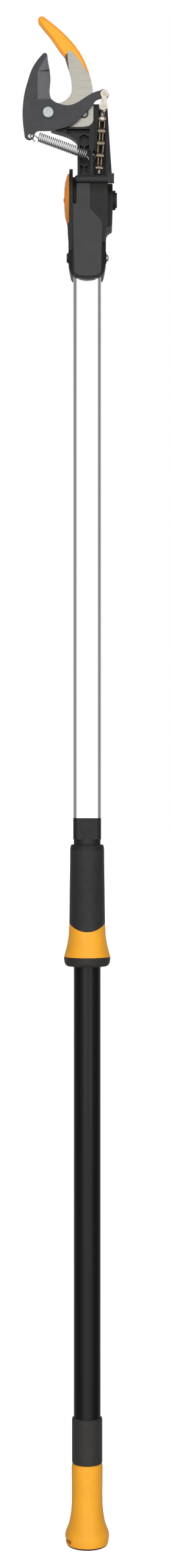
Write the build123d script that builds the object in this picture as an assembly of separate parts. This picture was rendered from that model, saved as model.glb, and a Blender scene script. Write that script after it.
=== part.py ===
from build123d import *
from math import atan2, cos, degrees, hypot, radians, sin
import os

os.makedirs("parts", exist_ok=True)

# ---- Driving dimensions (mm). Z runs up the pole; the pole axis is x = 0, y = 0. ----
CHAIN_PITCH = 12.7
TILT_Z = 1389.0            # height of the head tilt axis, which runs along X
PIVOT = (-40.1, 1478.2)    # blade pivot (x, z)
EYE = (17.9, 1497.3)       # eye of the blade arm (x, z)
SECOND = (16.5, 1484.68)   # foot of the top link, where the chain starts (x, z)
TAIL = (-58.4, 1454.4)     # spring hole in the blade tail (x, z)
POST = (4.6, 1431.3)       # spring bar on the head frame (x, z)
SECOND_BOLT = (-3.4, 1478.2)   # second bolt of the hook plate (x, z)
CHAIN_LEAN = 3.6           # lean of the chain line from vertical, degrees
CHAIN_Y = -4.0             # plane of the chain, the blade and the top link

BLADE_Y = (-6.0, -2.0)
PLATE_Y = (-1.9, 1.7)
FRAME_Y = (-1.8, 10.0)

TUBE_R = 13.9              # lower tube, outside
TUBE_BORE = 12.4
SQUARE_TUBE = (28.6, 26.0, 6.0)   # upper tube: width, depth, corner radius
SQUARE_WALL = 1.5
COLLAR_Z = (716.0, 751.0)
SOCKET_Z = (1308.6, 1345.0)
GRIP_STROKE = 198.3
CORD_R = 1.25
SHEAVE_R = 8.0             # radius of the cord round a sheave
BLOCK_Z = 1270.0
ANCHOR_Z = 1190.0


# ---- Helpers ----
def loop(points, place):
    """Closed face from runs of points: a list is a polyline, a tuple is a smooth curve."""
    edges = []
    for run in points:
        spots = [place(*p) for p in run]
        made = Spline(*spots) if isinstance(run, tuple) else Polyline(*spots)
        edges.extend(made.edges())
    return Face(Wire(edges))


def slab_xz(points, y0, y1):
    face = loop(points, lambda x, z: (x, y0, z))
    return extrude(face, amount=y1 - y0, dir=(0, 1, 0))


def slab_yz(points, x0, x1):
    face = loop(points, lambda y, z: (x0, y, z))
    return extrude(face, amount=x1 - x0, dir=(1, 0, 0))


def box(x0, x1, y0, y1, z0, z1):
    return Pos((x0 + x1) / 2, (y0 + y1) / 2, (z0 + z1) / 2) * Box(x1 - x0, y1 - y0, z1 - z0)


def rod_x(r, x0, x1, y, z):
    return Pos((x0 + x1) / 2, y, z) * Rot(0, 90, 0) * Cylinder(r, x1 - x0)


def rod_y(r, y0, y1, x, z):
    return Pos(x, (y0 + y1) / 2, z) * Rot(90, 0, 0) * Cylinder(r, y1 - y0)


def rod_z(r, z0, z1, x=0.0, y=0.0):
    return Pos(x, y, (z0 + z1) / 2) * Cylinder(r, z1 - z0)


def hex_y(across, y0, y1, x, z):
    prism = extrude(RegularPolygon(across / 2, 6, major_radius=False), y1 - y0)
    return Pos(x, y0, z) * Rot(-90, 0, 0) * prism


def hex_x(across, x0, x1, y, z):
    prism = extrude(RegularPolygon(across / 2, 6, major_radius=False), x1 - x0)
    return Pos(x0, y, z) * Rot(0, 90, 0) * prism


def turned(profile):
    """Solid turned about the pole axis from (radius, z) points."""
    face = loop([profile + [profile[0]]], lambda r, z: (r, 0, z))
    return revolve(face, Axis.Z, 360)


def strut(r, a, b):
    """Round bar between two points, with ball ends."""
    a, b = Vector(*a), Vector(*b)
    bar = extrude(Plane(origin=a, z_dir=b - a) * Circle(r), (b - a).length)
    return bar + Pos(*a) * Sphere(r) + Pos(*b) * Sphere(r)


def save(node, shape):
    export_step(shape, f"parts/{node}.step")


def square_bar(width, depth, corner, z0, z1):
    return Pos(0, 0, z0) * extrude(RectangleRounded(width, depth, corner), z1 - z0)


# ---- Pole ----
lower_tube = rod_z(TUBE_R, 88, COLLAR_Z[0]) - rod_z(TUBE_BORE, 80, COLLAR_Z[0] + 5)
slot_low = 608 - GRIP_STROKE - 4
lower_tube -= box(-3, 3, 5, 20, slot_low, 644)
lower_tube -= rod_y(3, 5, 20, 0, slot_low)
lower_tube -= rod_y(3, 5, 20, 0, 644)
save("lower_tube", lower_tube)

wide, deep, corner = SQUARE_TUBE
inner = (wide - 2 * SQUARE_WALL, deep - 2 * SQUARE_WALL, corner - SQUARE_WALL)
upper_tube = square_bar(wide, deep, corner, COLLAR_Z[1], SOCKET_Z[1] - 0.5)
upper_tube -= square_bar(*inner, COLLAR_Z[1] - 5, SOCKET_Z[1] + 5)
upper_tube -= rod_x(2.6, -20, 20, 5, 1330.5)
save("upper_tube", upper_tube)

joint_collar = rod_z(TUBE_R, *COLLAR_Z)
joint_collar += square_bar(wide, deep, corner, COLLAR_Z[1] - 22, COLLAR_Z[1])
joint_collar += rod_z(TUBE_BORE - 0.02, COLLAR_Z[0] - 62, COLLAR_Z[0])
joint_collar += square_bar(inner[0] - 0.04, inner[1] - 0.04, inner[2], COLLAR_Z[1], COLLAR_Z[1] + 48)
tongue = [[(-9.8, 752), (9.8, 752), (9.8, 738)], ((9.8, 738), (5.5, 731.5), (0, 730), (-5.5, 731.5), (-9.8, 738)),
          [(-9.8, 738), (-9.8, 752)]]
window = [[(-7.6, 748), (7.6, 748), (7.6, 739), (5.2, 734.6), (-5.2, 734.6), (-7.6, 739), (-7.6, 748)]]
joint_collar += slab_xz(tongue, -13.4, -10) & box(-15, 15, -20, 0, 728, 751)
joint_collar -= slab_xz(window, -16, -12.2)
joint_collar -= rod_z(10.6, COLLAR_Z[0] - 70, COLLAR_Z[1] + 60)
save("joint_collar", joint_collar)

end_collar = turned([(TUBE_R + 0.02, 85), (14.9, 85), (15.7, 86.2), (15.7, 130), (15.3, 131.6), (14.6, 132),
                     (TUBE_R + 0.02, 132)])
save("end_collar", end_collar)

# ---- Housing at the top of the pole ----
HUB_R, HUB_BORE = 25.5, 24.0
SLOT_Z = 1380.5            # foot of the slot beside the left ear
MOUTH_Z = 1399.8           # front lip of the opening that the hub turns in
GUARD_Z = 1404.6
EAR_X = -18.3              # outer face of the left ear
DRUM_R, DRUM_BORE = 29.0, 26.4


def side_shape(radius, half, waist, x0, x1, top=None):
    """Disc round the tilt axis drawn down into the socket, seen from the side."""
    reach = hypot(half, TILT_Z - waist)
    turn = degrees(atan2(waist - TILT_Z, half)) + degrees(atan2((reach**2 - radius**2) ** 0.5, radius))
    y, z = radius * cos(radians(turn)), TILT_Z + radius * sin(radians(turn))
    skirt = [[(-half, 1300), (-half, waist), (-y, z), (0, TILT_Z), (y, z), (half, waist), (half, 1300),
              (-half, 1300)]]
    return slab_yz(skirt, x0, x1) + rod_x(radius, x0, x1, 0, TILT_Z)


mask = [[(EAR_X, 1419.5), (-14.8, 1423), (-14.8, 1409), (20.9, 1409), (20.9, 1405.8), (26.1, 1405.8),
         (26.1, 1376), (25.6, 1359.6), (19.9, 1355.8), (19.2, 1348), (19.2, 1322), (17.9, 1315.5),
         (16.6, 1310), (15.4, 1308.4), (10.5, 1305.6), (5.3, 1304.2), (0, 1303.7), (-5.3, 1304.2),
         (-10.5, 1305.6), (-15.4, 1308.4), (-16.6, 1310), (-17.9, 1315.5), (-19.2, 1322),
         (-19.2, 1347), (-20.2, 1359), (EAR_X, 1361), (EAR_X, 1419.5)]]
socket = square_bar(40.4, 36.4, 9, 1300, 1352)
drum = side_shape(DRUM_R, 18.2, 1342, -14.8, 20.9) - box(-15, 21, -40, 40, 1300, 1341.9)
left_ear = side_shape(31.4, 17.0, 1335, -20.4, -14.8) - box(-21, -14, -40, 40, 1300, 1334)
right_ear = side_shape(16.8, 16.0, 1345, 20.9, 26.1) - box(20, 27, -40, 40, 1300, 1344)
drum -= box(-15, 21, -40, 0, MOUTH_Z, 1430)
drum -= box(-15, 21, 0, 40, 1376, 1430)
housing = socket + drum + left_ear + right_ear
housing &= slab_xz(mask, -45, 45)
housing -= rod_x(DRUM_BORE, -14.75, 20.9, 0, TILT_Z)
housing -= box(-14.8, -10.7, -40, 0, SLOT_Z, 1430) + rod_y(2.05, -40, -12, -12.75, SLOT_Z)
housing -= box(-6, 13, -10, 4, 1343, 1366)
housing -= square_bar(wide + 0.06, deep + 0.06, corner, 1300, SOCKET_Z[1])
housing += rod_x(5.8, 18.5, 19.9, 5, 1330.5) + rod_x(5.8, -19.9, -18.5, 5, 1330.5)
housing -= rod_x(2.6, -25, 25, 5, 1330.5)
housing -= rod_x(4.1, -25, -10, 0, TILT_Z)
housing -= rod_x(5.0, 20, 30, 0, TILT_Z)
save("housing_left", housing & box(-30, 0, -50, 50, 1290, 1440))
save("housing_right", housing & box(0, 30, -50, 50, 1290, 1440))

plate_edge = [[(-15.0, MOUTH_Z - 0.3), (2.8, MOUTH_Z - 0.3), (2.8, 1376)],
              ((2.8, 1376), (6.0, 1370.6), (11.6, 1365.6), (14.6, 1361.4), (15.3, 1357)),
              [(15.3, 1357), (14.1, 1314)],
              ((14.1, 1314), (12.6, 1309.8), (8, 1307.5), (0, 1307), (-8, 1307.5), (-12.0, 1309.8), (-13.2, 1314)),
              [(-13.2, 1314), (-14.4, 1360), (-15.0, MOUTH_Z - 0.3)]]
skin = side_shape(DRUM_R + 1.4, 19.5, 1341.6, -14.8, 20.9) & box(-15, 21, -40, -2, 1302, MOUTH_Z - 0.3)
skin -= side_shape(DRUM_R, 18.2, 1342, -16, 22)
skin &= slab_xz(plate_edge, -45, 0)
skin -= box(-14.9, -10.7, -40, 0, SLOT_Z, 1430) + rod_y(2.05, -40, -12, -12.75, SLOT_Z)
save("front_plate", skin)

guard_bar = rod_x(4.4, -9.0, 21.2, -24, GUARD_Z)
guard_bar += Pos(-9.0, -24, GUARD_Z) * Sphere(4.4)
guard_bar += box(21.1, 27.4, -28.4, -19.6, GUARD_Z - 4.2, GUARD_Z + 5.1)
guard_bar -= rod_x(HUB_R + 1.2, -20, 30, 0, TILT_Z)
save("guard_bar", guard_bar)

bolt_line = [(-20.6, 0), (-20.6, 2.5), (19.95, 2.5), (19.95, 3.7), (21.0, 3.5), (21.9, 2.5), (22.3, 0), (-20.6, 0)]
socket_bolt = revolve(loop([bolt_line], lambda x, r: (x, 0, r)), Axis.X, 360)
save("socket_bolt", Pos(0, 5, 1330.5) * socket_bolt)
socket_nut = hex_x(8.2, -21.2, -19.95, 5, 1330.5) - rod_x(2.5, -22, -19, 5, 1330.5)
save("socket_nut", socket_nut)

pivot_cap = rod_x(9.9, 26.15, 29.1, 0, TILT_Z) + rod_x(7.8, 29.1, 30.6, 0, TILT_Z)
pivot_cap += rod_x(4.95, 16.7, 26.2, 0, TILT_Z)
pivot_cap -= hex_x(6, 28.4, 31, 0, TILT_Z)
save("pivot_cap", pivot_cap)

friction_disc = rod_x(23.4, -14.7, -10.6, 0, TILT_Z) - rod_x(4.1, -15, -10, 0, TILT_Z)
save("friction_disc", friction_disc)

# ---- Tilt clamp ----
dome = [(EAR_X - 0.15, 0), (EAR_X - 0.15, 27.3), (-20.4, 25.6), (-22.8, 17.6), (-23.5, 9), (-23.6, 0),
        (EAR_X - 0.15, 0)]
clamp_knob = revolve(loop([dome], lambda x, r: (x, 0, r)), Axis.X, 360)
for side in (-1, 1):
    clamp_knob -= box(-24, -21.6, side * 12 - 6, side * 12 + 6, -9, 9)
clamp_knob = Pos(0, 0, TILT_Z) * clamp_knob - rod_x(4.0, -25, -17, 0, TILT_Z)
save("clamp_knob", clamp_knob)
clamp_screw = rod_x(3.95, -23.6, -2.6, 0, TILT_Z) + rod_x(2.2, -24.2, -23.6, 0, TILT_Z)
save("clamp_screw", clamp_screw)

# ---- Head frame ----
def chain_x(z):
    return SECOND[0] - (SECOND[1] - z) * sin(radians(CHAIN_LEAN)) / cos(radians(CHAIN_LEAN))


frame_edge = [[(-37.4, 1461.7), (-25.2, 1464.1), (-20, 1466), (-12, 1476), (-3, 1486), (4, 1488.6),
               (18.4, 1488.6), (20.9, 1484.9), (22.8, 1455.9), (24.3, 1432.8), (25.5, 1416)],
              [(25.5, 1416), (20.6, 1415.6), (20.6, 1400), (-10, 1400), (-10, 1444.2)],
              ((-10, 1444.2), (-10.7, 1449.1), (-14.6, 1453), (-23.3, 1457.3), (-37.4, 1461.7))]
frame = slab_xz(frame_edge, *FRAME_Y)
frame -= box(6.8, 30, -5, 0.6, 1400, 1495)
frame += rod_x(HUB_R, -10.5, 20.6, 0, TILT_Z)
channel = [[(chain_x(1495) - 4.4, 1495), (chain_x(1395) - 4.4, 1395), (16.4, 1395), (19.4, 1418),
            (18.4, 1495), (chain_x(1495) - 4.4, 1495)]]
frame -= slab_xz(channel, -8.9, 5.6)
frame -= rod_x(HUB_BORE, -6.5, 16.6, 0, TILT_Z)
opening = [[(0, TILT_Z), (-40 * sin(radians(100)), TILT_Z + 40 * cos(radians(100))), (-45, TILT_Z - 60),
            (60, TILT_Z - 60), (60, TILT_Z + 60 * cos(radians(70)) / sin(radians(70))), (0, TILT_Z)]]
frame -= slab_yz(opening, -6.5, 16.6)
plate_seat = [[(-40, 1464.3), (-3.9, 1464.3), (1.9, 1465.5), (5.2, 1468.2), (6.5, 1471.4), (6.5, 1500),
               (-40, 1500), (-40, 1464.3)]]
frame -= slab_xz(plate_seat, -5, PLATE_Y[1])


def honeycomb(x, z, r, depth):
    """Pointy-topped six-sided pocket, open to the front."""
    ring = [(x + r * sin(radians(60 * i)), z + r * cos(radians(60 * i))) for i in range(7)]
    return slab_xz([ring], FRAME_Y[0] - 1, FRAME_Y[0] + depth)


row = box(-21.5, 2.6, -5, 4, 1457.4, 1462.6)
cells = Part() + honeycomb(-3, 1451.2, 6.0, 6)
for x, z in ((-3, 1465.2), (-14.8, 1465.2), (9, 1465.2), (-8.9, 1458.2), (3, 1458.2), (-20.6, 1458.2)):
    cells += honeycomb(x, z, 6.0, 6) & row
lower_box = box(-7.6, 2.2, -5, 4, 1414.6, 1446)
for x, z in ((-8.9, 1440.9), (2.9, 1440.9), (-3, 1430.8), (-8.9, 1420.6), (2.9, 1420.6)):
    cells += honeycomb(x, z, 6.0, 5.8) & lower_box
frame -= cells & slab_xz(frame_edge, -10, 20)
for x, z in ((-3, 1451.2), (-3, 1430.8), (-14.8, 1458.6)):
    frame -= Pos(0, 12.2, 0) * honeycomb(x, z, 4.4, 4) & slab_xz(frame_edge, 5, 12)

frame -= box(0.6, 8.6, -5, 4.0, 1417, 1440)
frame += box(3.4, 5.8, -8.2, -5.8, 1414.2, 1442.5)
frame += box(3.4, 5.8, -8.2, -1.0, 1440, 1443.5) + box(3.4, 5.8, -8.2, -1.0, 1413, 1416.5)
frame -= rod_x(4.1, -12, -6, 0, TILT_Z)
frame -= rod_x(5.0, 16, 21, 0, TILT_Z)
ROLLERS = {"guide_roller_front": (-12.7, TILT_Z), "guide_roller_rear": (4.7, TILT_Z + 8.5)}
pins = Part()
for y, z in ROLLERS.values():
    frame -= rod_x(1.6, -8.5, 18.5, y, z)
    pins += rod_x(1.6, -8.5, 18.5, y, z)
frame -= rod_y(3.0, -5, 20, *SECOND_BOLT)
save("head_frame", frame)
save("roller_pins", pins)
for node, (y, z) in ROLLERS.items():
    save(node, rod_x(4.0, 3.4, 15.6, y, z) - rod_x(1.66, 3, 16, y, z))
clamp_nut = hex_x(12, -6.45, -2.5, 0, TILT_Z) - rod_x(4.0, -7, -2, 0, TILT_Z)
save("clamp_nut", clamp_nut)

# ---- Hook (counter blade) ----
steel_edge = [((-22.8, 1536.7), (-19.4, 1524.8), (-16.5, 1514.1), (-15.9, 1506.3), (-16.5, 1499.5),
               (-19.4, 1494.7), (-24.3, 1490.8), (-29.1, 1489.2), (-35.5, 1490.6)),
              ((-35.5, 1490.6), (-46, 1488), (-50.4, 1479.9), (-46.5, 1471.6), (-40.1, 1469.2)),
              [(-40.1, 1469.2), (-29, 1464.5), (-3.9, 1464.5), (1.9, 1465.6), (4.9, 1468), (6.4, 1471.4),
               (6.4, 1485), (6.0, 1500)],
              ((6.0, 1500), (4.3, 1511.2), (2.4, 1518.5)),
              ((2.4, 1518.5), (0, 1521.7), (-5.8, 1530.4), (-11.6, 1538.2), (-16.5, 1543.5)),
              ((-16.5, 1543.5), (-20.9, 1540.6), (-22.8, 1536.7))]
cover_edge = [((-22.8, 1536.7), (-26.2, 1540.6), (-33.1, 1550.4), (-40.4, 1560.4), (-44.7, 1565.4),
               (-48.5, 1570.4)),
              ((-48.5, 1570.4), (-50.4, 1573.6), (-50.0, 1577.2), (-46.9, 1578.9), (-43.5, 1577.4)),
              ((-43.5, 1577.4), (-34.4, 1570.4), (-28.5, 1565.4), (-18.3, 1555.4), (-10.2, 1545.4),
               (-4.1, 1535.4), (0.2, 1525.4), (2.4, 1518.5)),
              ((2.4, 1518.5), (0, 1521.7), (-5.8, 1530.4), (-11.6, 1538.2), (-16.5, 1543.5)),
              ((-16.5, 1543.5), (-20.9, 1540.6), (-22.8, 1536.7))]
core_edge = [[(-22, 1533), (-15, 1535)], [(-15, 1535), (-6.5, 1529), (-13, 1542), (-21, 1553), (-45, 1573.5),
              (-46, 1571.5), (-24.5, 1543.2), (-22, 1533)]]
core = slab_xz(core_edge, -0.3, PLATE_Y[1])
hook_plate = slab_xz(steel_edge, *PLATE_Y) + core
hook_plate -= rod_y(4.02, -10, 10, *PIVOT)
hook_plate -= rod_y(3.0, -10, 10, *SECOND_BOLT) + rod_y(4.85, -10, -0.25, *SECOND_BOLT)
save("hook_plate", hook_plate)
RIM = 1.9                  # width of the lower rim round the cover's face
hook_tip = slab_xz(cover_edge, PLATE_Y[0] + 0.9, 3.2)
over_steel = [[(2.4, 1518.5), (4.6, 1508), (-15, 1508), (-19.4, 1524.8), (-22.8, 1536.7)]]
both_sides = loop(cover_edge[:3] + over_steel, lambda x, z: (x, PLATE_Y[0], z))
inner_edge = offset(both_sides, amount=-RIM).edges()
raised = Face(Wire([Spline(*[edge @ (i / 12) for i in range(13)]) for edge in inner_edge]))
steel_room = slab_xz(steel_edge, -3, PLATE_Y[1]) + core
hook_tip -= steel_room
hook_tip += extrude(raised, amount=1.5, dir=(0, 1, 0)) - steel_room
save("hook_tip", hook_tip)

pivot_bolt = rod_y(6.0, -8.0, -6.1, *PIVOT) + rod_y(4.0, -6.2, 5.8, *PIVOT)
pivot_bolt = pivot_bolt.solid()
pivot_bolt = chamfer(pivot_bolt.edges().group_by(Axis.Y)[0], 0.7)
save("pivot_bolt", pivot_bolt)
save("pivot_nut", hex_y(13, 1.75, 5.4, *PIVOT) - rod_y(4.0, 0, 8, *PIVOT))
save("plate_bolt", rod_y(2.95, -1.88, 12, *SECOND_BOLT))
save("plate_washer", rod_y(4.82, -1.85, -0.28, *SECOND_BOLT) - rod_y(3.0, -3, 1, *SECOND_BOLT))
save("plate_nut", hex_y(9, 10.05, 13.2, *SECOND_BOLT) - rod_y(3.0, 9, 14, *SECOND_BOLT))

# ---- Blade ----
blade_edge = [((-44.7, 1539.5), (-51.5, 1531.8), (-56.8, 1523.1), (-61.2, 1510.4), (-64.1, 1499.8),
               (-65.9, 1488.1), (-66.5, 1477.5), (-65.9, 1465.8), (-64.6, 1456.1)),
              ((-64.6, 1456.1), (-63.0, 1451.9), (-60.2, 1450.5), (-56.4, 1451.7), (-54.2, 1455.2)),
              ((-54.2, 1455.2), (-52.9, 1458.5), (-49.5, 1460.0)),
              [(-49.5, 1460.0), (-37.9, 1460.0)],
              ((-37.9, 1460.0), (-30, 1461.0), (-22.3, 1462.9), (-15.5, 1465.8), (-9.7, 1470.2), (-3.9, 1476.5),
               (5.8, 1487.1), (8.7, 1491.0), (11.4, 1492.6), (14.4, 1493.2)),
              ((14.4, 1493.2), (18.6, 1493.0), (22.3, 1497.3), (18.9, 1501.6), (13.6, 1500.9)),
              ((13.6, 1500.9), (4.8, 1497.9), (-4.8, 1492.0), (-11.6, 1487.9), (-20.4, 1485.7),
               (-29.1, 1487.5), (-35, 1490.5), (-38.3, 1496.9), (-37.9, 1510.4), (-38.4, 1521.1),
               (-40.3, 1531.8), (-40.8, 1536.4)),
              ((-40.8, 1536.4), (-42.2, 1539.2), (-44.7, 1539.5))]
blade = slab_xz(blade_edge, *BLADE_Y)
# The ground edge: a long lower facet and a short upper one that meet on a ridge.
RIDGE = ((-51.0, 1520.6), (-37.6, 1522.6))
TIP_END = (-41.0, 1537.8)
HEEL_Z = 1491.8
GROUND_Y = -2.5


def wedge(front, deep):
    """Solid between points on the blade's front face and one point cut down into it."""
    faces = []
    for skip in range(4):
        corner = [p for i, p in enumerate(front + [deep]) if i != skip]
        faces.append(Face(Wire(Polyline(*corner, corner[0]).edges())))
    return Solid(Shell(faces))


low, high = RIDGE
left = loop([[(low[0], -6.0), (high[0], GROUND_Y), (-35, GROUND_Y), (-35, -6.2), (low[0], -6.2), (low[0], -6.0)]],
            lambda x, y: (x, y, HEEL_Z))
lower_cut = extrude(left, amount=low[1] - HEEL_Z + 4, dir=(0, 0, 1))
above = slab_xz([[low, (-30, low[1] + 3.1), (-30, 1540), (-52, 1540), low]], -7, -1)
blade -= lower_cut - above
blade -= wedge([(low[0], -6.02, low[1]), (TIP_END[0], -6.02, TIP_END[1]), (-37.2, -6.02, low[1] + 2.1)],
               (-37.2, GROUND_Y, low[1] + 2.1))
blade -= rod_y(4.06, -10, 5, *PIVOT)
blade -= rod_y(1.86, -10, 5, *EYE)
blade -= rod_y(2.5, -10, 5, *TAIL)
save("blade", blade)

# ---- Chain ----
def link_plate(r, waist, y0, y1, a, b):
    """Waisted link plate lying flat to the front, between two pin centres (x, z)."""
    along = Vector(b[0] - a[0], 0, b[1] - a[1])
    mid = ((a[0] + b[0]) / 2, (a[1] + b[1]) / 2)
    bar = Pos(mid[0], (y0 + y1) / 2, mid[1]) * Rot(0, degrees(atan2(along.X, along.Z)), 0)
    plate = rod_y(r, y0, y1, *a) + rod_y(r, y0, y1, *b)
    return plate + bar * Box(2 * waist, y1 - y0, along.length)


LEAN = Rot(0, CHAIN_LEAN, 0)
ORIGIN = Pos(SECOND[0], CHAIN_Y, SECOND[1])
holes = rod_y(1.81, -10, 3, *EYE) + rod_y(1.81, -10, 3, *SECOND)
link = link_plate(4.2, 2.7, -7.6, -6.3, EYE, SECOND) + link_plate(4.2, 2.7, -1.75, -0.45, EYE, SECOND)
save("top_link_plates", link - holes)
for node, spot in (("eye_pin", EYE), ("link_pin", SECOND)):
    ring = rod_y(1.25, -9, -7.75, *spot) - rod_y(0.8, -9, -7.75, *spot)
    save(node, rod_y(1.8, -8.1, 0.05, *spot) - ring)


def hung(shape):
    """Carries a shape drawn down the chain's own line to its place on the head."""
    return ORIGIN * LEAN * shape


def side_plates(i, near, thick):
    """The pair of plates joining pin i to pin i + 1, edge-on to the front."""
    z0, z1 = -CHAIN_PITCH * i, -CHAIN_PITCH * (i + 1)
    made = Part()
    for side in (-1, 1):
        x0, x1 = sorted((side * near, side * (near + thick)))
        plate = rod_x(3.9, x0, x1, 0, z0) + rod_x(3.9, x0, x1, 0, z1) + box(x0, x1, -2.7, 2.7, z1, z0)
        made += plate - rod_x(1.72, -9, 9, 0, z0) - rod_x(1.72, -9, 9, 0, z1)
    return made


twist = rod_y(3.9, -2.0, 2.0, 0, 0) + rod_x(3.9, -1.95, 1.95, 0, -CHAIN_PITCH)
turns = [Pos(0, 0, -2.4 - 1.6 * i) * Rot(0, 0, 18 * i) * Rectangle(5.2, 1.9) for i in range(6)]
twist += loft(turns, ruled=True)
twist -= rod_y(1.86, -5, 5, 0, 0) + rod_x(1.72, -5, 5, 0, -CHAIN_PITCH)
save("twisted_link", hung(twist))
save("chain_outer_plates", hung(side_plates(1, 2.15, 0.95) + side_plates(3, 2.15, 0.95)))
save("chain_inner_plates", hung(side_plates(2, 1.1, 0.95) + side_plates(4, 1.1, 0.95)))
pins, rolls = Part(), Part()
for i in range(1, 6):
    z = -CHAIN_PITCH * i
    pins += rod_x(1.7, -3.65, 3.65, 0, z)
    if 1 < i < 5:
        rolls += rod_x(3.1, -1.05, 1.05, 0, z) - rod_x(1.72, -2, 2, 0, z)
save("chain_pins", hung(pins))
save("chain_rollers", hung(rolls))
low = -CHAIN_PITCH * 5
anchor = rod_x(3.2, -1.05, 1.05, 0, low) + box(-1.05, 1.05, -2.2, 2.2, low - 6.0, low)
save("chain_anchor", hung(anchor - rod_x(1.72, -5, 5, 0, low)))

# ---- Return spring ----
COIL_Y = -11.6
WIRE = 0.62
run = Vector(POST[0] - TAIL[0], 0, POST[1] - TAIL[1]).normalized()
coil_a = Vector(TAIL[0], COIL_Y, TAIL[1]) + run * 9.0
coil_b = Vector(TAIL[0], COIL_Y, TAIL[1]) + run * 62.0
spring_plane = Plane(origin=coil_a, x_dir=(0, 1, 0), z_dir=run)
length = (coil_b - coil_a).length
PITCH_COIL = length / 26
helix = spring_plane * Helix(pitch=PITCH_COIL, height=length, radius=4.3)
start = helix @ 0
coil = sweep(Plane(origin=start, z_dir=helix % 0) * Circle(WIRE), path=helix)
save("spring_coil", coil)


def wire(points):
    path = Spline(*points)
    return sweep(Plane(origin=path @ 0, z_dir=path % 0) * Circle(WIRE), path=path)


first, last = helix @ 0, helix @ 1
side = Vector(run.Z, 0, -run.X)
tail = [first - run * 0.9, first - run * 3.0 + Vector(0, -0.4, 0), Vector(TAIL[0] + 3.2, -8.4, TAIL[1] + 0.2),
        Vector(TAIL[0] + 1.0, -6.8, TAIL[1] + 0.6), Vector(TAIL[0] - 0.2, -4.0, TAIL[1] + 0.2),
        Vector(TAIL[0] + 0.9, -1.0, TAIL[1] - 0.8), Vector(TAIL[0] + 4.6, -0.6, TAIL[1] - 4.8)]
save("spring_tail_hook", wire(tail))
hook = [last + run * 1.1]
for angle in range(205, 471, 38):
    a = radians(angle)
    hook.append(Vector(POST[0] + 3.4 * cos(a), -7.0 - 2.9 * sin(a), POST[1] + 3.0 * sin(a)))
save("spring_base_hook", wire(hook))

# ---- Cord tackle inside the upper tube ----
def sheave(x0, x1, z):
    wheel = rod_x(9.6, x0, x1, 0, z)
    middle = (x0 + x1) / 2
    groove = Pos(middle, 0, z) * Rot(0, 90, 0) * Torus(SHEAVE_R + 0.3, CORD_R + 0.35)
    rim = rod_x(12, middle - CORD_R - 0.35, middle + CORD_R + 0.35, 0, z)
    rim -= rod_x(SHEAVE_R + 0.3, x0 - 1, x1 + 1, 0, z)
    return wheel - groove - rim - rod_x(2.05, x0 - 1, x1 + 1, 0, z)


save("sheave_left", sheave(-5.2, -0.4, BLOCK_Z))
save("sheave_right", sheave(0.4, 5.2, BLOCK_Z))
save("anchor_sheave", sheave(-2.1, 2.1, ANCHOR_Z))
yoke = box(-6.9, -5.5, -5, 5, BLOCK_Z - 4, BLOCK_Z + 13) + box(5.5, 6.9, -5, 5, BLOCK_Z - 4, BLOCK_Z + 13)
yoke += box(-6.9, 6.9, -5, 5, BLOCK_Z + 11, BLOCK_Z + 15)
save("pulley_block", yoke - rod_x(2.0, -8, 8, 0, BLOCK_Z) - rod_z(CORD_R + 0.1, BLOCK_Z + 8, BLOCK_Z + 16))
save("pulley_pin", rod_x(2.0, -7.6, 7.6, 0, BLOCK_Z))
anchor_block = square_bar(inner[0] - 0.04, inner[1] - 0.04, inner[2], ANCHOR_Z - 18, ANCHOR_Z + 4)
anchor_block -= box(-2.8, 2.8, -14, 14, ANCHOR_Z - 11, ANCHOR_Z + 6)
anchor_block -= rod_x(2.0, -9, 9, 0, ANCHOR_Z)
anchor_block -= box(2.7, 5.7, -14, -5.5, ANCHOR_Z - 20, ANCHOR_Z + 6)
anchor_block -= box(-5.9, -2.9, 5.5, 9.8, ANCHOR_Z - 8, ANCHOR_Z + 6)
save("anchor_block", anchor_block)
save("anchor_pin", rod_x(2.0, -9, 9, 0, ANCHOR_Z))


def over(x, z, up):
    """Half turn of cord round a sheave."""
    ring = Pos(x, 0, z) * Rot(0, 90, 0) * Torus(SHEAVE_R, CORD_R)
    return ring & box(x - 3, x + 3, -12, 12, *((z, z + 12) if up else (z - 12, z)))


def cord(*points):
    line = Part()
    for a, b in zip(points, points[1:]):
        line += strut(CORD_R, a, b)
    return line


near = ANCHOR_Z + 14
falls = over(-2.8, BLOCK_Z, True) + over(2.8, BLOCK_Z, True) + over(0, ANCHOR_Z, False)
falls += cord((-2.8, 8, BLOCK_Z), (-4.4, 8, near), (-4.4, 8, ANCHOR_Z - 6))
falls += cord((-2.8, -8, BLOCK_Z), (0, -8, near), (0, -8, ANCHOR_Z))
falls += cord((2.8, 8, BLOCK_Z), (0, 8, near), (0, 8, ANCHOR_Z))
save("tackle_falls", falls)
save("lift_cord", cord((0, 0, BLOCK_Z + 12), (0, 0, BLOCK_Z + 18), (10.2, -4, TILT_Z - 2)))
lead_z = SECOND[1] - 71.3
save("lead_cord", cord((chain_x(lead_z), -4, lead_z), (chain_x(TILT_Z + 2), -4, TILT_Z + 2)))
below = ANCHOR_Z - 20
save("haul_cord", cord((2.8, -8, BLOCK_Z - 1.8), (4.2, -8, near), (4.2, -8, below), (0, 0, ANCHOR_Z - 60), (0, 0, 30)))

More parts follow.
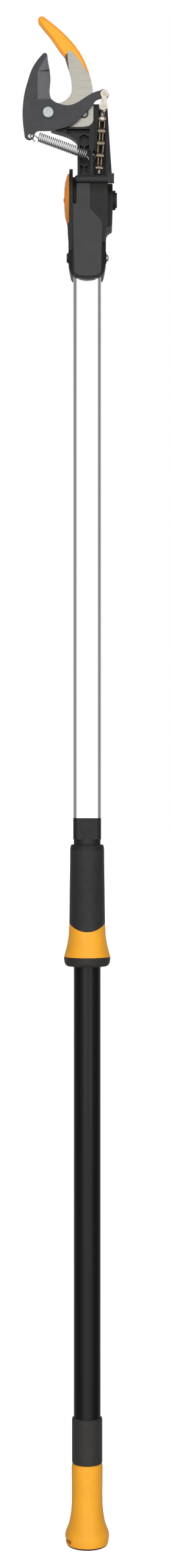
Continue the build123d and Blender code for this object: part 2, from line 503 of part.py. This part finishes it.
# ---- Sliding grip ----
swell = [(14.0, 598), (20.6, 598), (22.4, 599.4), (23.4, 601.5), (23.9, 605), (23.9, 607.6), (22.8, 612), (21.6, 616.4),
         (20.7, 620.2), (20.0, 624), (19.4, 627.7), (18.9, 635), (18.5, 641.6), (18.2, 664), (18.1, 676.8),
         (17.65, 705), (17.6, 717.8), (17.3, 721.5), (16.4, 723.5), (14.0, 723.5)]
grip = turned(swell)
inside = rod_z(16.0, 607.6, 717.8)
ring = grip & box(-30, 30, -30, 30, 590, 607.5)
bush = grip & box(-30, 30, -30, 30, 717.9, 730)
upper = box(-30, 30, -30, 30, 642.5, 717.8) + rod_y(24.2, -30, 30, 0, 658.2)
middle = grip & box(-30, 30, -30, 30, 607.6, 717.8)
key_seat = box(-2.5, 2.5, 13, 15.75, 611, 640)
sleeve = (middle & upper) - inside
save("grip_sleeve", sleeve)
save("grip_core", middle - sleeve - key_seat)
save("grip_ring", ring)
save("grip_bush", bush)
shuttle = rod_z(TUBE_BORE - 0.08, 606, 645) - rod_z(CORD_R + 0.5, 600, 650)
save("shuttle", shuttle - box(-2.5, 2.5, 8, 20, 611, 640))
save("shuttle_key", box(-2.48, 2.48, 8.02, 15.7, 611.02, 639.98))

# ---- Pull knob ----
knob_line = [(0, 2.0), (21.4, 2.0), (22.1, 5), (22.5, 8.2), (22.7, 11.3), (22.0, 14.5), (20.8, 17.6), (19.5, 20.8),
             (18.5, 24), (17.3, 30.2), (16.4, 36.5), (16.0, 42.8), (15.75, 50), (15.75, 57), (16.0, 70),
             (16.1, 80), (15.8, 83.4), (15.0, 84.8), (12.3, 84.8), (12.3, 112), (0, 112)]
pull_knob = turned(knob_line)
pull_knob -= rod_z(CORD_R + 0.02, 26, 120) + rod_z(4.0, 2, 30)
pull_knob -= box(-24, -16.5, -17, 17, 4.8, 8.6)
save("pull_knob", pull_knob)
save("knob_pad", turned([(0, 0), (19.6, 0), (20.6, 0.6), (21.2, 1.96), (0, 1.96)]))
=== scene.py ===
import math
import bmesh
import bpy
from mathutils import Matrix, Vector


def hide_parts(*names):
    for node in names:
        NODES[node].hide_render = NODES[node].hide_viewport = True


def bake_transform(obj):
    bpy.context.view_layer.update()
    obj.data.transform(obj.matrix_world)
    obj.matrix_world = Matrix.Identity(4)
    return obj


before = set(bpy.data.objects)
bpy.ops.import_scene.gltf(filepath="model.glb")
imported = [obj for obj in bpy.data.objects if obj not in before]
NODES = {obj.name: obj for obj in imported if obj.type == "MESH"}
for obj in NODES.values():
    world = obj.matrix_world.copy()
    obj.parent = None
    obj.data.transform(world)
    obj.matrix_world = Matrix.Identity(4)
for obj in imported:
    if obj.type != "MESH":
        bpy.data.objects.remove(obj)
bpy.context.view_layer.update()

MM = 0.001
scene = bpy.context.scene

# ---- Camera and view transform ----
CAMERA_AT = (-0.0012, -2.39, 0.786)
camera_data = bpy.data.cameras.new("camera")
camera_data.lens = 53.1
camera_data.sensor_width = 36.0
camera = bpy.data.objects.new("camera", camera_data)
camera.location = CAMERA_AT
camera.rotation_euler = (math.pi / 2, 0, 0)
scene.collection.objects.link(camera)
scene.camera = camera
scene.view_settings.view_transform = "Standard"


# ---- Colour and node helpers ----
def srgb(r, g, b):
    """Linear colour from a 0-255 display colour."""
    part = [c / 255 for c in (r, g, b)]
    return [c / 12.92 if c <= 0.04 else ((c + 0.055) / 1.055) ** 2.4 for c in part] + [1.0]


def shade(colour, k):
    return [min(1.0, c * k) for c in colour[:3]] + [1.0]


class Surface:
    """A procedural material. Textures read object coordinates, which are metres in the row frame."""

    def __init__(self, name, rough=0.4, metallic=0.0, level=0.5, coat=0.0, coat_rough=0.2, sheen=0.0):
        self.mat = bpy.data.materials.new(name)
        self.mat.use_nodes = True
        self.tree = self.mat.node_tree
        self.shader = self.tree.nodes["Principled BSDF"]
        for socket, value in (("Roughness", rough), ("Metallic", metallic), ("Specular IOR Level", level),
                              ("Coat Weight", coat), ("Coat Roughness", coat_rough), ("Sheen Weight", sheen)):
            self.shader.inputs[socket].default_value = value
        self.coord = self.tree.nodes.new("ShaderNodeTexCoord")
        self.normal = None

    def node(self, kind, inputs=(), **settings):
        made = self.tree.nodes.new(kind)
        for key, value in settings.items():
            setattr(made, key, value)
        for key, value in dict(inputs).items():
            if isinstance(value, bpy.types.NodeSocket):
                self.tree.links.new(value, made.inputs[key])
            else:
                made.inputs[key].default_value = value
        return made

    def place(self, stretch=(1, 1, 1), turn=(0, 0, 0)):
        return self.node("ShaderNodeMapping", {"Vector": self.coord.outputs["Object"], "Scale": stretch,
                                               "Rotation": turn}).outputs[0]

    def noise(self, scale, detail=4, rough=0.55, stretch=(1, 1, 1), turn=(0, 0, 0)):
        return self.node("ShaderNodeTexNoise", {"Vector": self.place(stretch, turn), "Scale": scale,
                                                "Detail": detail, "Roughness": rough}).outputs[0]

    def spread(self, value, lo, hi, to_lo=0.0, to_hi=1.0):
        return self.node("ShaderNodeMapRange", {"Value": value, "From Min": lo, "From Max": hi,
                                                "To Min": to_lo, "To Max": to_hi}).outputs[0]

    def ramp(self, value, stops, steps=False):
        made = self.node("ShaderNodeValToRGB", {"Fac": value})
        band = made.color_ramp
        band.interpolation = "CONSTANT" if steps else "LINEAR"
        while len(band.elements) < len(stops):
            band.elements.new(0.5)
        for element, (at, colour) in zip(band.elements, stops):
            element.position = at
        for element, (at, colour) in zip(band.elements, stops):
            element.color = colour
        return made.outputs[0]

    def mix(self, fac, a, b, how="MIX"):
        made = self.node("ShaderNodeMix", data_type="RGBA", blend_type=how)
        for key, value in ((0, fac), (6, a), (7, b)):
            if isinstance(value, bpy.types.NodeSocket):
                self.tree.links.new(value, made.inputs[key])
            else:
                made.inputs[key].default_value = value
        return made.outputs[2]

    def colour(self, value):
        if isinstance(value, bpy.types.NodeSocket):
            self.tree.links.new(value, self.shader.inputs["Base Color"])
        else:
            self.shader.inputs["Base Color"].default_value = value

    def mottle(self, colour, amount, scale, stretch=(1, 1, 1), turn=(0, 0, 0)):
        """Base colour that drifts a little lighter and darker."""
        drift = self.noise(scale, 5, 0.6, stretch, turn)
        return self.ramp(drift, [(0.3, shade(colour, 1 - amount)), (0.7, shade(colour, 1 + amount))])

    def roughness(self, lo, hi, scale, stretch=(1, 1, 1), turn=(0, 0, 0)):
        patches = self.noise(scale, 5, 0.6, stretch, turn)
        self.tree.links.new(self.spread(patches, 0.3, 0.7, lo, hi), self.shader.inputs["Roughness"])

    def soften(self, radius):
        """Rounds the shading of sharp edges."""
        self.normal = self.node("ShaderNodeBevel", {"Radius": radius}, samples=4).outputs[0]

    def relief(self, height, distance, strength=1.0):
        inputs = {"Height": height, "Distance": distance, "Strength": strength}
        if self.normal:
            inputs["Normal"] = self.normal
        self.normal = self.node("ShaderNodeBump", inputs).outputs[0]

    def edges(self, radius, lo=0.02, hi=0.25):
        """1 on rounded corners, 0 on flats."""
        round_normal = self.node("ShaderNodeBevel", {"Radius": radius}, samples=4).outputs[0]
        flat = self.node("ShaderNodeNewGeometry").outputs["Normal"]
        dot = self.node("ShaderNodeVectorMath", operation="DOT_PRODUCT")
        self.tree.links.new(round_normal, dot.inputs[0])
        self.tree.links.new(flat, dot.inputs[1])
        return self.spread(dot.outputs["Value"], 1 - lo, 1 - hi)

    def front(self):
        """How far the object's surface faces its own front, -Y."""
        split = self.node("ShaderNodeSeparateXYZ", {"Vector": self.coord.outputs["Normal"]})
        return self.node("ShaderNodeMath", {0: split.outputs[1], 1: -1.0}, operation="MULTIPLY").outputs[0]

    def beyond(self, point, direction, width):
        """0 behind a plane through point, 1 in front of it, over width metres."""
        axis = Vector(direction).normalized()
        dot = self.node("ShaderNodeVectorMath", {0: self.coord.outputs["Object"], 1: axis},
                        operation="DOT_PRODUCT")
        start = Vector(point).dot(axis)
        return self.spread(dot.outputs["Value"], start, start + width)

    def done(self):
        if self.normal:
            self.tree.links.new(self.normal, self.shader.inputs["Normal"])
        return self.mat


# ---- Materials ----
AMBER = srgb(240, 166, 44)
# Deeper amber for rounded edges: painted shade at grazing edges.
AMBER_PAINTED_EDGE_SHADE = srgb(226, 132, 28)
# Deeper amber for the hook cover's lower rim: painted shade.
AMBER_PAINTED_RIM_SHADE = srgb(231, 145, 33)


def plastic(name, colour, lo, hi, grain, painted_edge_light=None, soft=0.0004, level=0.2, coat=0.0):
    """Injection-moulded plastic: fine spark texture, faint flow marks, and a painted edge colour on rounded
    corners: lighter greys as painted highlights, deeper ambers as painted shade.
    """
    s = Surface(name, level=level, coat=coat, coat_rough=0.35)
    base = s.mottle(colour, 0.07, 45)
    specks = s.noise(2600, 3, 0.6)
    base = s.mix(s.spread(specks, 0.58, 0.72, 0, 0.16), base, shade(colour, 1.7))
    # Rounded corners mixed towards the painted edge colour: a painted highlight on the dark plastics, painted
    # shade on the amber ones.
    if painted_edge_light:
        base = s.mix(s.edges(soft * 1.6), base, painted_edge_light)
    s.colour(base)
    s.roughness(lo, hi, 120)
    s.soften(soft)
    s.relief(s.noise(1500, 4, 0.6), grain)
    s.relief(s.noise(60, 2, 0.5), 0.00006, 0.5)
    return s.done()


def metal(name, colour, lo, hi, grain_scale=700, stretch=(1, 1, 1), turn=(0, 0, 0), depth=0.00001,
          soft=0.0002, amount=0.1, stain=None):
    """Bright metal with a drawn or ground grain and cloudy plating."""
    s = Surface(name, metallic=1.0)
    base = s.mottle(colour, amount, 260, stretch, turn)
    if stain:
        base = s.mix(s.spread(s.noise(420, 4, 0.65), 0.5, 0.68, 0, 0.75), base, stain)
    s.colour(base)
    s.roughness(lo, hi, grain_scale * 0.4, stretch, turn)
    s.soften(soft)
    s.relief(s.noise(grain_scale, 5, 0.65, stretch, turn), depth)
    return s.done()


def coated_blade():
    """Satin coating over steel; the ground bevel shows lighter in two facets. The tone is picked by facing
    direction, so the facets' differing tones and the dark sides and back are painted light and shade.
    """
    s = Surface("blade_coating", rough=0.42, level=0.3)
    # Tone by facing: the grind is lighter, and how the two facets, the front and the sides differ is painted
    # light and shade.
    grind_and_painted_facing_light = s.ramp(s.front(), [(0.0, srgb(30, 30, 32)), (0.55, srgb(128, 127, 133)),
                                (0.945, srgb(88, 87, 92)), (0.986, srgb(50, 50, 53))], steps=True)
    cloud = s.spread(s.noise(90, 5, 0.6), 0.3, 0.7, 0.86, 1.12)
    tone = s.node("ShaderNodeCombineColor", {"Red": cloud, "Green": cloud, "Blue": cloud}).outputs[0]
    base = s.mix(1.0, grind_and_painted_facing_light, tone, "MULTIPLY")
    hair = s.noise(160, 6, 0.7, (1, 1, 22), (0, math.radians(-24), 0))
    base = s.mix(s.spread(hair, 0.62, 0.74, 0, 0.12), base, srgb(150, 150, 156))
    s.colour(s.mix(s.edges(0.0004, 0.04, 0.4), base, srgb(86, 85, 90)))
    s.roughness(0.34, 0.5, 220)
    s.soften(0.0003)
    s.relief(s.noise(2200, 3, 0.6), 0.000012)
    s.relief(s.noise(220, 6, 0.7, (1, 1, 16), (0, math.radians(-24), 0)), 0.000012)
    return s.done()


def hook_steel():
    """Bare brushed steel with long crossing scratches and a dark ground strip at the inner edge."""
    s = Surface("hook_steel", metallic=0.85, level=0.5)
    base = s.mottle(srgb(150, 147, 139), 0.08, 70, (1, 1, 6), (0, math.radians(35), 0))
    for turn, scale in ((66, 240), (-38, 190), (80, 300)):
        lines = s.noise(scale, 6, 0.75, (1, 1, 40), (0, math.radians(turn), 0))
        base = s.mix(s.spread(lines, 0.6, 0.75, 0, 0.25), base, srgb(186, 183, 175))
    strip = s.beyond((-0.0204, 0, 1.5404), (-0.995, 0, -0.0999), 0.00015)
    strip = s.node("ShaderNodeMath", {0: strip, 1: s.beyond((0, 0, 1.513), (0, 0, 1), 0.0005)},
                   operation="MULTIPLY").outputs[0]
    base = s.mix(strip, base, srgb(74, 66, 58))
    # Faces turned away from the front are mixed towards a darker brown: painted shade.
    s.colour(s.mix(s.spread(s.front(), 0.5, 0.9, 1, 0), base, srgb(112, 105, 92)))
    s.roughness(0.28, 0.46, 160, (1, 1, 14), (0, math.radians(35), 0))
    s.soften(0.00025)
    s.relief(s.noise(420, 6, 0.75, (1, 1, 24), (0, math.radians(35), 0)), 0.000012)
    return s.done()


def hook_cover():
    """Amber moulding whose lower rim, behind the face, is given a deeper amber as painted shade."""
    s = Surface("hook_cover_amber", level=0.2)
    face = s.mottle(AMBER, 0.04, 60)
    # Behind y = -1.5 mm the rim takes the deeper amber: painted shade.
    s.colour(s.mix(s.beyond((0, -0.0015, 0), (0, 1, 0), 0.0003), face, AMBER_PAINTED_RIM_SHADE))
    s.roughness(0.36, 0.48, 120)
    s.soften(0.0004)
    s.relief(s.noise(1500, 4, 0.6), 0.000018)
    return s.done()


def aluminium_tube():
    """Clear anodised extrusion: long die lines, a few handling marks."""
    s = Surface("tube_anodised", metallic=1.0)
    base = s.mottle(srgb(238, 238, 236), 0.02, 500, (1, 1, 0.01))
    marks = s.noise(130, 6, 0.75, (1, 1, 0.05))
    s.colour(s.mix(s.spread(marks, 0.66, 0.76, 0, 0.25), base, srgb(205, 205, 204)))
    s.roughness(0.16, 0.26, 320, (1, 1, 0.012))
    s.relief(s.noise(900, 5, 0.7, (1, 1, 0.008)), 0.000003)
    return s.done()


def black_tube():
    """Satin black paint on a drawn tube, rubbed a little where the grip slides."""
    s = Surface("tube_black", level=0.2)
    base = s.mottle(srgb(12, 12, 13), 0.12, 60)
    rub = s.noise(700, 6, 0.75, (1, 1, 0.02))
    base = s.mix(s.spread(rub, 0.6, 0.72, 0, 0.35), base, srgb(26, 26, 27))
    s.colour(base)
    s.roughness(0.24, 0.36, 200, (1, 1, 0.05))
    s.soften(0.0004)
    s.relief(s.noise(900, 3, 0.6), 0.000012)
    return s.done()


def grip_rubber(name, colour):
    """Soft-touch rubber with a leathery pebble and dusty high spots."""
    s = Surface(name, level=0.2, sheen=0.05)
    base = s.mottle(colour, 0.12, 50)
    dust = s.noise(300, 6, 0.7)
    s.colour(s.mix(s.spread(dust, 0.55, 0.75, 0, 0.25), base, shade(colour, 2.2)))
    s.roughness(0.5, 0.66, 180)
    pebble = s.node("ShaderNodeTexVoronoi", {"Vector": s.place(), "Scale": 1300.0}).outputs["Distance"]
    s.relief(pebble, 0.00003, 0.7)
    s.relief(s.noise(2500, 3, 0.6), 0.00001)
    return s.done()


def braid():
    """Braided cord: two families of strands crossing round it, with painted shade in the grooves between
    strands.
    """
    s = Surface("cord_braid", rough=0.75, level=0.3, sheen=0.2)
    bands = []
    for tilt in (-32, 32):
        lean = math.radians(tilt)
        wave = s.node("ShaderNodeTexWave", {"Vector": s.place((1, 1, 1), (lean, lean, 0)),
                                            "Scale": 320.0, "Distortion": 0.6, "Detail": 2.0},
                      bands_direction="Z").outputs["Fac"]
        bands.append(wave)
    weave = s.node("ShaderNodeMath", {0: bands[0], 1: bands[1]}, operation="MULTIPLY").outputs[0]
    # Low weave values, the grooves between strands, are painted darker: painted shade.
    s.colour(s.ramp(weave, [(0.0, srgb(120, 118, 108)), (0.6, srgb(226, 224, 214))]))
    s.relief(weave, 0.00025)
    return s.done()


CORD = braid()
# The fifth value of each plastic is its painted edge colour: lighter greys are painted highlights, deeper
# ambers painted shade.
BLACK = plastic("plastic_black", srgb(34, 34, 35), 0.42, 0.56, 0.00002, srgb(64, 64, 65))
FRAME_BLACK = plastic("frame_black", srgb(30, 30, 31), 0.36, 0.5, 0.00002, srgb(82, 82, 83), 0.0005)
EAR_BLACK = plastic("housing_black", srgb(30, 29, 28), 0.42, 0.55, 0.00002, srgb(62, 61, 60), 0.0005)
PLATE_GREY = plastic("plate_grey", srgb(56, 56, 57), 0.45, 0.58, 0.000022, srgb(82, 82, 83), 0.0005)
GUARD_GREY = plastic("guard_grey", srgb(42, 42, 43), 0.34, 0.46, 0.00002, srgb(70, 70, 71), 0.0005)
AMBER_PLASTIC = plastic("amber_plastic", AMBER, 0.36, 0.48, 0.000015, AMBER_PAINTED_EDGE_SHADE, 0.0006)
AMBER_KNOB = plastic("amber_knob", srgb(236, 142, 26), 0.3, 0.42, 0.000015, srgb(226, 128, 20), 0.0006)
NYLON = plastic("nylon", srgb(226, 224, 214), 0.4, 0.55, 0.000015)
ZINC = metal("zinc_plate", srgb(170, 172, 172), 0.26, 0.44, 900, amount=0.08)
BOLT_FACE = metal("bolt_face", srgb(152, 157, 158), 0.34, 0.5, 1200, depth=0.00003, amount=0.16)
OXIDE = metal("black_oxide", srgb(58, 57, 56), 0.34, 0.5, 900)
NICKEL = metal("nickel_plate", srgb(178, 170, 160), 0.2, 0.36, 900, stain=srgb(122, 104, 86))
CHAIN_PLATE = metal("chain_plate", srgb(126, 112, 94), 0.2, 0.36, 900, stain=srgb(72, 56, 40))
CHAIN_ROLLER = metal("chain_roller", srgb(132, 116, 96), 0.24, 0.4, 900, stain=srgb(78, 60, 42))
SPRING_WIRE = metal("spring_wire", srgb(176, 177, 180), 0.32, 0.46, 1400, amount=0.08)

FINISH = {
    "lower_tube": black_tube(), "upper_tube": aluminium_tube(), "blade": coated_blade(),
    "hook_plate": hook_steel(),
    "hook_tip": hook_cover(), "grip_sleeve": grip_rubber("grip_rubber", srgb(40, 40, 41)),
    "grip_ring": grip_rubber("ring_rubber", srgb(44, 42, 40)), "grip_bush": BLACK, "grip_core": AMBER_PLASTIC,
    "pull_knob": AMBER_PLASTIC, "knob_pad": grip_rubber("pad_rubber", srgb(52, 30, 18)),
    "joint_collar": BLACK, "end_collar": grip_rubber("collar_rubber", srgb(46, 45, 43)),
    "housing_left": EAR_BLACK, "housing_right": EAR_BLACK, "front_plate": PLATE_GREY, "guard_bar": GUARD_GREY,
    "head_frame": FRAME_BLACK, "pivot_cap": BLACK, "friction_disc": BLACK, "clamp_knob": AMBER_KNOB,
    "pivot_bolt": BOLT_FACE, "plate_bolt": BOLT_FACE, "plate_washer": OXIDE, "socket_nut": OXIDE,
    "socket_bolt": ZINC, "clamp_screw": OXIDE, "clamp_nut": ZINC, "pivot_nut": ZINC, "plate_nut": ZINC,
    "roller_pins": ZINC, "anchor_pin": ZINC, "pulley_pin": ZINC, "pulley_block": ZINC,
    "anchor_block": NYLON, "anchor_sheave": NYLON, "sheave_left": NYLON, "sheave_right": NYLON,
    "guide_roller_front": NYLON, "guide_roller_rear": NYLON, "shuttle": NYLON, "shuttle_key": NYLON,
    "eye_pin": NICKEL, "link_pin": NICKEL, "top_link_plates": NICKEL, "twisted_link": NICKEL,
    "chain_outer_plates": CHAIN_PLATE, "chain_inner_plates": CHAIN_PLATE, "chain_pins": NICKEL,
    "chain_rollers": CHAIN_ROLLER, "chain_anchor": CHAIN_PLATE, "spring_base_hook": SPRING_WIRE,
    "spring_coil": SPRING_WIRE, "spring_tail_hook": SPRING_WIRE, "tackle_falls": CORD, "lift_cord": CORD,
    "lead_cord": CORD, "haul_cord": CORD,
}
for name, material in FINISH.items():
    NODES[name].material_slots[0].material = material


# ---- Pieces with finer shapes than their CAD nodes ----
def new_piece(name, mesh):
    piece = bpy.data.objects.new(name, mesh)
    scene.collection.objects.link(piece)
    return piece


def bar_along(name, points, radius, sides, material):
    """Round bar swept along points, in metres, with closed ends."""
    bm = bmesh.new()
    spots = [Vector(p) for p in points]
    side = Vector((0, 1, 0.01)).normalized()
    rings = []
    for i, spot in enumerate(spots):
        ahead = (spots[min(i + 1, len(spots) - 1)] - spots[max(i - 1, 0)]).normalized()
        side = (side - ahead * side.dot(ahead)).normalized()
        other = ahead.cross(side)
        turn = [2 * math.pi * k / sides for k in range(sides)]
        rings.append([bm.verts.new(spot + (side * math.cos(a) + other * math.sin(a)) * radius) for a in turn])
    for low, high in zip(rings, rings[1:]):
        for k in range(sides):
            bm.faces.new((low[k], low[(k + 1) % sides], high[(k + 1) % sides], high[k]))
    bm.faces.new(list(reversed(rings[0])))
    bm.faces.new(rings[-1])
    bmesh.ops.recalc_face_normals(bm, faces=bm.faces)
    mesh = bpy.data.meshes.new(name)
    bm.to_mesh(mesh)
    bm.free()
    mesh.materials.append(material)
    for polygon in mesh.polygons:
        polygon.use_smooth = len(polygon.vertices) == 4
    return new_piece(name, mesh)


def smooth_line(knots, per=10):
    """Catmull-Rom curve through knots."""
    knots = [Vector(k) for k in knots]
    ends = [2 * knots[0] - knots[1]] + knots + [2 * knots[-1] - knots[-2]]
    line = []
    for a, b, c, d in zip(ends, ends[1:], ends[2:], ends[3:]):
        for i in range(per):
            t = i / per
            line.append(0.5 * (2 * b + (c - a) * t + (2 * a - 5 * b + 4 * c - d) * t * t
                               + (3 * b - a - 3 * c + d) * t * t * t))
    return line + [knots[-1]]


# Return spring: one wire, from its loop round the bar, through the coil, to its hook in the blade's tail.
TAIL = Vector((-58.4, -11.6, 1454.4))
POST = Vector((4.6, -11.6, 1431.3))
TURNS = 26
COIL_R = 4.3
along = (POST - TAIL).normalized()
coil_start = TAIL + along * 9.0
coil_end = TAIL + along * 62.0
across = Vector((0, 1, 0))
up = along.cross(across)
STEPS = 18
helix = []
for i in range(TURNS * STEPS + 1):
    a = 2 * math.pi * i / STEPS
    centre = coil_start.lerp(coil_end, i / (TURNS * STEPS))
    helix.append(centre + (across * math.cos(a) + up * math.sin(a)) * COIL_R)
tail_knots = [(TAIL.x + x, y, TAIL.z + z) for x, y, z in
              ((4.6, -0.6, -4.8), (0.9, -1.0, -0.8), (-0.2, -4.0, 0.2), (1.0, -6.8, 0.6), (3.2, -8.4, 0.2),
               (5.8, -8.6, -1.5))]
post_knots = []
for angle in range(205, 471, 38):
    a = math.radians(angle)
    post_knots.append((POST.x + 3.4 * math.cos(a), -7.0 - 2.9 * math.sin(a), POST.z + 3.0 * math.sin(a)))
tail_part = smooth_line(tail_knots + [tuple(helix[0]), tuple(helix[3])])
post_part = smooth_line([tuple(helix[-4]), tuple(helix[-1])] + post_knots)
tail_part = tail_part[:-10]
post_part = post_part[10:]
wire_line = [p * MM for p in tail_part + helix[1:-1] + post_part]
spring = bar_along("return_spring", wire_line, 0.62 * MM, 8, SPRING_WIRE)
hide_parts("spring_coil", "spring_base_hook", "spring_tail_hook")
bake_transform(spring)


# Cords of the tackle inside the upper tube.
def turn_of(x, z, up_side):
    """Half turn of cord round a sheave of 8 mm."""
    sign = 1 if up_side else -1
    return [(x, 8 * math.cos(math.pi * i / 12), z + sign * 8 * math.sin(math.pi * i / 12)) for i in range(13)]


BLOCK_Z, ANCHOR_Z, NEAR_Z, TILT_Z = 1270, 1190, 1204, 1389
cords = (
    ("tackle_cord_first", [(-4.4, 8, ANCHOR_Z - 6), (-4.4, 8, NEAR_Z)] + turn_of(-2.8, BLOCK_Z, True)
     + [(0, -8, NEAR_Z)] + list(reversed(turn_of(0, ANCHOR_Z, False))) + [(0, 8, NEAR_Z)]
     + turn_of(2.8, BLOCK_Z, True), ("tackle_falls",), "pole", "block", NEAR_Z, BLOCK_Z - 6),
    ("lift_cord_braid", [(0, 0, BLOCK_Z + 12), (0, 0, BLOCK_Z + 18), (10.2, -4, TILT_Z - 2)], ("lift_cord",),
     "block", "pole", BLOCK_Z + 20, TILT_Z - 20),
    ("lead_cord_braid", [(12.01, -4, 1413.4), (10.6, -4, TILT_Z + 2)], ("lead_cord",),
     "chain", "head", 1413.2, TILT_Z + 2),
    ("haul_cord_upper", [(2.8, -8, BLOCK_Z), (4.2, -8, NEAR_Z)], ("haul_cord",),
     "block", "pole", BLOCK_Z - 4, NEAR_Z),
    ("haul_cord_lower", [(4.2, -8, NEAR_Z), (4.2, -8, 1170), (0, 0, 1130), (0, 0, 950), (0, 0, 500),
                         (0, 0, 30)], (),
     "pole", "knob", 1120, 900),
)
for name, route, stood_for, first, second, z_first, z_second in cords:
    points = []
    for a, b in zip(route, route[1:]):
        count = max(1, int((Vector(b) - Vector(a)).length / 8))
        points += [Vector(a).lerp(Vector(b), i / count) * MM for i in range(count)]
    points.append(Vector(route[-1]) * MM)
    piece = bar_along(name, points, 1.22 * MM, 10, CORD)
    if stood_for:
        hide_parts(*stood_for)
    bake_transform(piece)

# ---- Studio ----
AMBIENT = 0.24
FRONT_LIGHT = 1.9
BACK_LIGHT = 0.55
world = bpy.data.worlds.new("studio")
scene.world = world
world.use_nodes = True
sky = world.node_tree


def sky_node(kind, inputs=(), **settings):
    made = sky.nodes.new(kind)
    for key, value in settings.items():
        setattr(made, key, value)
    for key, value in dict(inputs).items():
        if isinstance(value, bpy.types.NodeSocket):
            sky.links.new(value, made.inputs[key])
        else:
            made.inputs[key].default_value = value
    return made.outputs[0]


def sky_math(how, a, b):
    return sky_node("ShaderNodeMath", {0: a, 1: b}, operation=how)


# The object is lit mostly from the front and a little from behind; the seen backdrop is plain white.
split = sky.nodes.new("ShaderNodeSeparateXYZ")
sky.links.new(sky.nodes.new("ShaderNodeTexCoord").outputs["Generated"], split.inputs[0])
ahead = sky_math("MAXIMUM", sky_math("MULTIPLY", split.outputs[1], -1.0), 0.0)
behind = sky_math("MAXIMUM", split.outputs[1], 0.0)
glow = sky_math("MULTIPLY", sky_math("POWER", ahead, 3.0), FRONT_LIGHT)
glow = sky_math("ADD", glow, sky_math("MULTIPLY", sky_math("POWER", behind, 2.0), BACK_LIGHT))
glow = sky_math("ADD", glow, AMBIENT)
lit = sky.nodes["Background"]
sky.links.new(glow, lit.inputs["Strength"])
lit.inputs["Color"].default_value = (1, 1, 1, 1)
seen = sky_node("ShaderNodeBackground", {"Color": (1, 1, 1, 1), "Strength": 1.0})
paths = sky.nodes.new("ShaderNodeLightPath")
both = sky_node("ShaderNodeMixShader", {0: paths.outputs["Is Camera Ray"], 1: lit.outputs[0], 2: seen})
sky.links.new(both, sky.nodes["World Output"].inputs["Surface"])


FLOOR_SIZE = 60.0
FLOOR_GLOW = 1.0
half = FLOOR_SIZE / 2
floor_mesh = bpy.data.meshes.new("floor")
corners = [(-half, -half, 0), (half, -half, 0), (half, half, 0), (-half, half, 0)]
floor_mesh.from_pydata(corners, [], [(0, 1, 2, 3)])
floor = bpy.data.objects.new("floor", floor_mesh)
floor.location.z = -0.0005
scene.collection.objects.link(floor)
paint = Surface("floor_paint", rough=0.9, level=0.0)
paint.colour(paint.mottle([0.92, 0.92, 0.92, 1], 0.01, 3))
paint.shader.inputs["Emission Color"].default_value = (1, 1, 1, 1)
paint.shader.inputs["Emission Strength"].default_value = FLOOR_GLOW
floor_mesh.materials.append(paint.done())
floor.visible_diffuse = False
floor.visible_glossy = False


def softbox(name, at, target, width, height, power):
    data = bpy.data.lights.new(name, "AREA")
    data.shape = "RECTANGLE"
    data.size, data.size_y = width, height
    data.energy = power
    lamp = bpy.data.objects.new(name, data)
    scene.collection.objects.link(lamp)
    lamp.location = at
    lamp.rotation_mode = "QUATERNION"
    lamp.rotation_quaternion = (Vector(target) - Vector(at)).to_track_quat("-Z", "Y")


softbox("key_left", (-0.75, -2.3, 1.3), (0, 0, 0.85), 0.35, 2.4, 10)
softbox("key_right", (1.15, -1.9, 1.1), (0, 0, 0.85), 0.35, 2.4, 8)
